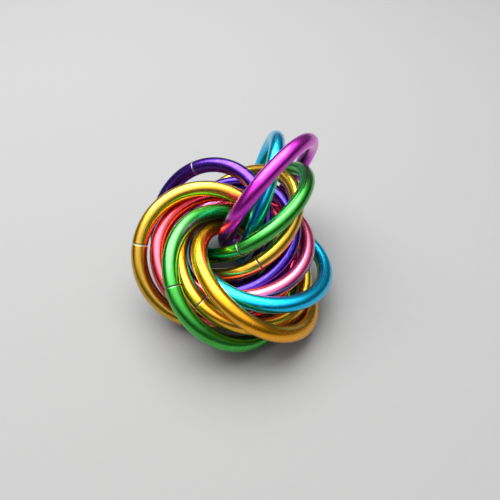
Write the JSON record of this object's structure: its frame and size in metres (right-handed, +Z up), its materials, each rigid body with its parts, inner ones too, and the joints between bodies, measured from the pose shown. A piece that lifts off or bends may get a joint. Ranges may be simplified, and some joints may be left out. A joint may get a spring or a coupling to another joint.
{
  "type": "interlinked ring fidget puzzle",
  "caption": "Small fidget rosette of coloured round-wire rings, each ring linked through every other, lying as a loose heap with some rings folded up.",
  "frame": {"origin": "Centre of the heap's footprint, on the surface that it lies on", "axes": "+Z up; +X to the right and +Y away, as seen from the side on which the orange ring lies nearest"},
  "size_m": [0.0258, 0.0308, 0.0207],
  "materials": {
    "anodised_gold": "bright dipped and dyed anodised, glossy",
    "anodised_red": "bright dipped and dyed anodised, glossy",
    "anodised_green": "bright dipped and dyed anodised, glossy",
    "anodised_yellow": "bright dipped and dyed anodised, glossy",
    "anodised_orange": "bright dipped and dyed anodised, glossy",
    "anodised_turquoise": "bright dipped and dyed anodised, glossy",
    "anodised_pink": "bright dipped and dyed anodised, glossy",
    "anodised_indigo": "bright dipped and dyed anodised, glossy",
    "anodised_magenta": "bright dipped and dyed anodised, glossy",
    "anodised_purple": "bright dipped and dyed anodised, glossy"
  },
  "bodies": {
    "ring_01_gold": {"ring_01_gold": "anodised_gold"},
    "ring_02_red": {"ring_02_red": "anodised_red"},
    "ring_03_green": {"ring_03_green": "anodised_green"},
    "ring_04_yellow": {"ring_04_yellow": "anodised_yellow"},
    "ring_05_orange": {"ring_05_orange": "anodised_orange"},
    "ring_06_turquoise": {"ring_06_turquoise": "anodised_turquoise"},
    "ring_07_pink": {"ring_07_pink": "anodised_pink"},
    "ring_08_indigo": {"ring_08_indigo": "anodised_indigo"},
    "ring_09_gold": {"ring_09_gold": "anodised_gold"},
    "ring_10_green": {"ring_10_green": "anodised_green"},
    "ring_11_magenta": {"ring_11_magenta": "anodised_magenta"},
    "ring_12_turquoise": {"ring_12_turquoise": "anodised_turquoise"},
    "ring_13_purple": {"ring_13_purple": "anodised_purple"}
  },
  "joints": [
    {"name": "ring_01_gold_spin", "type": "hinge", "parent": "ring_05_orange", "child": "ring_01_gold", "pos_m": [-0.00344, -0.00316, 0.0073], "axis": [0.1596, -0.6788, 0.7167], "continuous": true},
    {"name": "ring_02_red_spin", "type": "hinge", "parent": "ring_05_orange", "child": "ring_02_red", "pos_m": [-0.00104, -0.00312, 0.00762], "axis": [0.1502, -0.3618, 0.9201], "continuous": true},
    {"name": "ring_03_green_spin", "type": "hinge", "parent": "ring_05_orange", "child": "ring_03_green", "pos_m": [-0.00008, -0.00617, 0.00676], "axis": [0.5572, -0.3082, 0.7711], "continuous": true},
    {"name": "ring_04_yellow_spin", "type": "hinge", "parent": "ring_05_orange", "child": "ring_04_yellow", "pos_m": [0.00139, -0.00437, 0.0067], "axis": [0.3687, -0.1456, 0.9181], "continuous": true},
    {"name": "ring_06_turquoise_spin", "type": "hinge", "parent": "ring_05_orange", "child": "ring_06_turquoise", "pos_m": [0.0035, -0.00315, 0.00674], "axis": [0.1964, 0.1428, 0.9701], "continuous": true},
    {"name": "ring_07_pink_spin", "type": "hinge", "parent": "ring_05_orange", "child": "ring_07_pink", "pos_m": [0.00102, -0.00116, 0.00717], "axis": [-0.0565, -0.0478, 0.9973], "continuous": true},
    {"name": "ring_08_indigo_spin", "type": "hinge", "parent": "ring_05_orange", "child": "ring_08_indigo", "pos_m": [-0.00052, 0.00036, 0.00733], "axis": [-0.2659, -0.2468, 0.9319], "continuous": true},
    {"name": "ring_09_gold_spin", "type": "hinge", "parent": "ring_05_orange", "child": "ring_09_gold", "pos_m": [0.00051, 0.00237, 0.00817], "axis": [-0.4769, -0.1068, 0.8724], "continuous": true},
    {"name": "ring_10_green_swing", "type": "hinge", "parent": "ring_05_orange", "child": "ring_10_green", "pos_m": [0.004, -0.0011, 0.0115], "axis": [-0.3491, 0.9177, 0.1895], "range_deg": [-14, 0]},
    {"name": "ring_11_magenta_swing", "type": "hinge", "parent": "ring_05_orange", "child": "ring_11_magenta", "pos_m": [0.0021, 0.0057, 0.0036], "axis": [-0.3602, -0.7304, 0.5803], "range_deg": [-14, 0]},
    {"name": "ring_12_turquoise_swing", "type": "hinge", "parent": "ring_05_orange", "child": "ring_12_turquoise", "pos_m": [0.0032, 0.0014, 0.0118], "axis": [-0.2394, 0.5386, 0.8079], "range_deg": [-29, 2]},
    {"name": "ring_13_purple_swing", "type": "hinge", "parent": "ring_05_orange", "child": "ring_13_purple", "pos_m": [0.0004, -0.0055, 0.0042], "axis": [0.4709, -0.0301, 0.8817], "range_deg": [-13, 0]}
  ]
}
